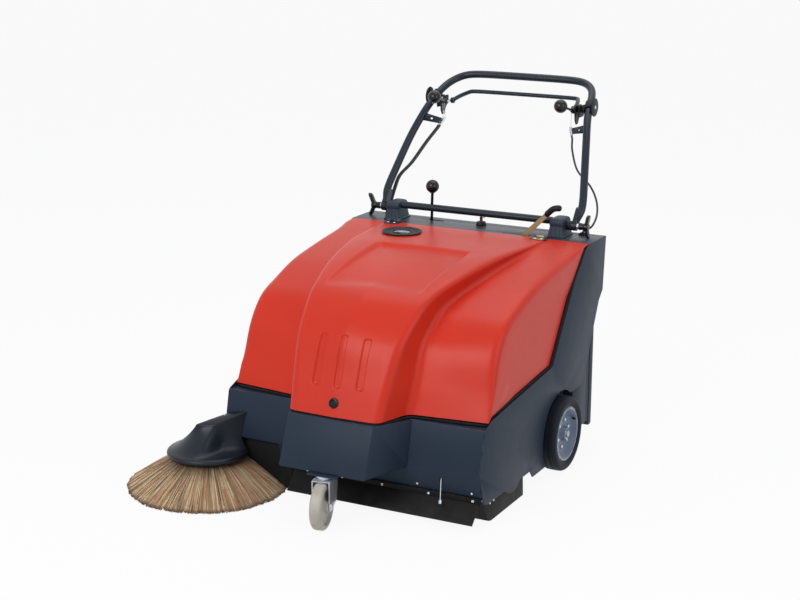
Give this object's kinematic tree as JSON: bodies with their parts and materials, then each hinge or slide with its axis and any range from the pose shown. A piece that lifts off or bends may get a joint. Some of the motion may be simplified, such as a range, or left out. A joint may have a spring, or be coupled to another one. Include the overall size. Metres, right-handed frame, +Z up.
{
  "type": "walk-behind floor sweeper",
  "caption": "Walk-behind sweeper with main broom, side brush, rear hopper, front caster, rear wheels, lift-up hood, front flap and folding push handle.",
  "frame": {"origin": "on the floor, under the centre of the whole machine's bounding box", "axes": "-Y is the machine's front, where the caster is; +Y is the handle; +Z is up"},
  "size_m": [0.99, 1.3284, 0.9695],
  "materials": {
    "slate": "satin powder coat",
    "hood": "semi-gloss moulded, orange-red",
    "dark_plastic": "satin, navy black",
    "gloss_black": "gloss",
    "rubber": "matte",
    "tyre": "matte",
    "rim": "satin, grey-blue",
    "bright_zinc": "bright zinc plated",
    "yellow_zinc": "yellow passivated zinc",
    "cream_nylon": "satin",
    "straw_bristle": "matte bristle",
    "black_bristle": "matte bristle",
    "key_red": "satin, dark red",
    "lens": "polished",
    "steel": "plain",
    "filter_paper": "pleated paper"
  },
  "bodies": {
    "frame": {"side_panel_left": "slate", "side_panel_right": "slate", "front_panel": "slate", "nose_box": "slate", "top_plate": "slate", "broom_housing": "slate", "hood_seal": "rubber", "skirt_left": "rubber", "skirt_right": "rubber", "flap_bar": "rubber", "battery": "dark_plastic", "filter_panel": "filter_paper", "suction_fan": "dark_plastic", "drive_motor": "steel", "isolator_base": "dark_plastic", "handle_block_left": "slate", "handle_block_right": "slate", "cross_tube": "slate", "pivot_stud_left": "bright_zinc", "pivot_stud_right": "bright_zinc", "axle": "steel", "brush_guide": "steel", "caster_plate": "bright_zinc"},
    "hood": {"hood": "hood", "hinge_leaf_left": "yellow_zinc", "hinge_leaf_right": "yellow_zinc", "gauge_bezel": "gloss_black", "gauge_lens": "lens"},
    "lock": {"hood_lock": "gloss_black"},
    "wheel_left": {"tyre_left": "tyre", "rim_left": "rim"},
    "wheel_right": {"tyre_right": "tyre", "rim_right": "rim"},
    "caster": {"caster_fork": "bright_zinc"},
    "caster_roller": {"caster_wheel": "cream_nylon"},
    "brush_mount": {"side_brush_cover": "dark_plastic", "side_brush_motor": "steel"},
    "side_brush": {"side_brush": "straw_bristle"},
    "broom_arm": {"broom_arm": "slate", "drive_belt": "rubber"},
    "broom": {"broom_core": "dark_plastic", "broom_bristles": "black_bristle"},
    "motor_pulley": {"motor_pulley": "bright_zinc"},
    "flap": {"front_flap": "rubber"},
    "flap_pull": {"flap_wire": "bright_zinc"},
    "hopper": {"debris_hopper": "slate"},
    "handle": {"handle_tube": "slate", "lever_bracket_left": "dark_plastic", "lever_bracket_right": "dark_plastic", "cable_left": "rubber", "cables_right": "rubber"},
    "hand_lever_left": {"hand_lever_left": "gloss_black"},
    "hand_lever_right": {"hand_lever_right": "gloss_black"},
    "bail": {"bail": "slate"},
    "wing_left": {"wing_lever_left": "gloss_black"},
    "wing_right": {"wing_lever_right": "gloss_black"},
    "brush_lever": {"brush_lift_lever": "bright_zinc"},
    "broom_lever": {"broom_lift_lever": "yellow_zinc", "lever_grip": "gloss_black"},
    "key": {"isolator_key": "key_red"}
  },
  "joints": [
    {"name": "hood_hinge", "type": "hinge", "parent": "frame", "child": "hood", "pos_m": [0.107, 0.25982, 0.5832], "axis": [-1, 0, 0], "range_deg": [0, 75]},
    {"name": "lock_turn", "type": "hinge", "parent": "hood", "child": "lock", "pos_m": [0.107, -0.48268, 0.29], "axis": [0, -0.9437, 0.3308], "range_deg": [0, 90]},
    {"name": "wheel_left_spin", "type": "hinge", "parent": "frame", "child": "wheel_left", "pos_m": [0.46999, 0.08983, 0.1], "axis": [1, 0, 0], "continuous": true},
    {"name": "wheel_right_spin", "type": "hinge", "parent": "frame", "child": "wheel_right", "pos_m": [-0.256, 0.08983, 0.1], "axis": [1, 0, 0], "continuous": true},
    {"name": "caster_swivel", "type": "hinge", "parent": "frame", "child": "caster", "pos_m": [0.1165, -0.54017, 0.1277], "axis": [0, 0, 1], "continuous": true},
    {"name": "caster_roll", "type": "hinge", "parent": "caster", "child": "caster_roller", "pos_m": [0.12356, -0.57343, 0.0595], "axis": [0.9781, 0.2079, 0], "continuous": true},
    {"name": "side_brush_lift", "type": "slide", "parent": "frame", "child": "brush_mount", "axis": [0, 0, 1], "range_m": [0, 0.027]},
    {"name": "side_brush_spin", "type": "hinge", "parent": "brush_mount", "child": "side_brush", "pos_m": [-0.28301, -0.45217, 0.09], "axis": [0, 0, 1], "continuous": true},
    {"name": "broom_arm_lift", "type": "hinge", "parent": "frame", "child": "broom_arm", "pos_m": [0.107, 0.03982, 0.313], "axis": [-1, 0, 0], "range_deg": [0, 6.25]},
    {"name": "broom_spin", "type": "hinge", "parent": "broom_arm", "child": "broom", "pos_m": [0.107, -0.12518, 0.116], "axis": [1, 0, 0], "continuous": true},
    {"name": "motor_pulley_spin", "type": "hinge", "parent": "frame", "child": "motor_pulley", "pos_m": [0.40699, 0.03982, 0.313], "axis": [1, 0, 0], "continuous": true},
    {"name": "flap_lift", "type": "hinge", "parent": "frame", "child": "flap", "pos_m": [0.107, -0.40068, 0.0642], "axis": [-1, 0, 0], "range_deg": [0, 15]},
    {"name": "flap_wire_pull", "type": "slide", "parent": "frame", "child": "flap_pull", "axis": [-0.1244, 0.3484, 0.9291], "range_m": [0, 0.007]},
    {"name": "hopper_slide", "type": "slide", "parent": "frame", "child": "hopper", "axis": [0, 1, 0], "range_m": [0, 0.35]},
    {"name": "handle_fold", "type": "hinge", "parent": "frame", "child": "handle", "pos_m": [0.107, 0.33332, 0.606], "axis": [-1, 0, 0], "range_deg": [-105, 0], "deforming": ["cable_left", "cables_right"]},
    {"name": "wing_left_turn", "type": "hinge", "parent": "frame", "child": "wing_left", "pos_m": [0.4053, 0.33332, 0.606], "axis": [1, 0, 0], "range_deg": [0, 90]},
    {"name": "wing_right_turn", "type": "hinge", "parent": "frame", "child": "wing_right", "pos_m": [-0.19131, 0.33332, 0.606], "axis": [1, 0, 0], "range_deg": [0, 90]},
    {"name": "bail_pull", "type": "hinge", "parent": "handle", "child": "bail", "pos_m": [0.107, 0.55983, 0.889], "axis": [1, 0, 0], "range_deg": [0, 22], "stiffness_Nm_per_rad": 0.8},
    {"name": "lever_left_pull", "type": "hinge", "parent": "handle", "child": "hand_lever_left", "pos_m": [0.30969, 0.53482, 0.889], "axis": [-1, 0, 0], "range_deg": [0, 35]},
    {"name": "lever_right_pull", "type": "hinge", "parent": "handle", "child": "hand_lever_right", "pos_m": [-0.0957, 0.53482, 0.889], "axis": [-1, 0, 0], "range_deg": [0, 35]},
    {"name": "brush_lever_tilt", "type": "hinge", "parent": "frame", "child": "brush_lever", "pos_m": [-0.04501, 0.34982, 0.54], "axis": [0, 1, 0], "range_deg": [0, 30]},
    {"name": "broom_lever_tilt", "type": "hinge", "parent": "frame", "child": "broom_lever", "pos_m": [0.25699, 0.28982, 0.562], "axis": [0, -1, 0], "range_deg": [0, 65]},
    {"name": "isolator_turn", "type": "hinge", "parent": "frame", "child": "key", "pos_m": [0.11199, 0.34982, 0.576], "axis": [0, 0, 1], "range_deg": [0, 90]}
  ],
  "couplings": [
    {"joint": "side_brush_lift", "follows": "brush_lever_tilt", "m_per_rad": 0.0515},
    {"joint": "broom_arm_lift", "follows": "broom_lever_tilt", "ratio": 0.0961},
    {"joint": "motor_pulley_spin", "follows": "broom_spin", "ratio": 2},
    {"joint": "flap_lift", "follows": "lever_left_pull", "ratio": 0.4285},
    {"joint": "flap_wire_pull", "follows": "lever_left_pull", "m_per_rad": 0.01145}
  ]
}
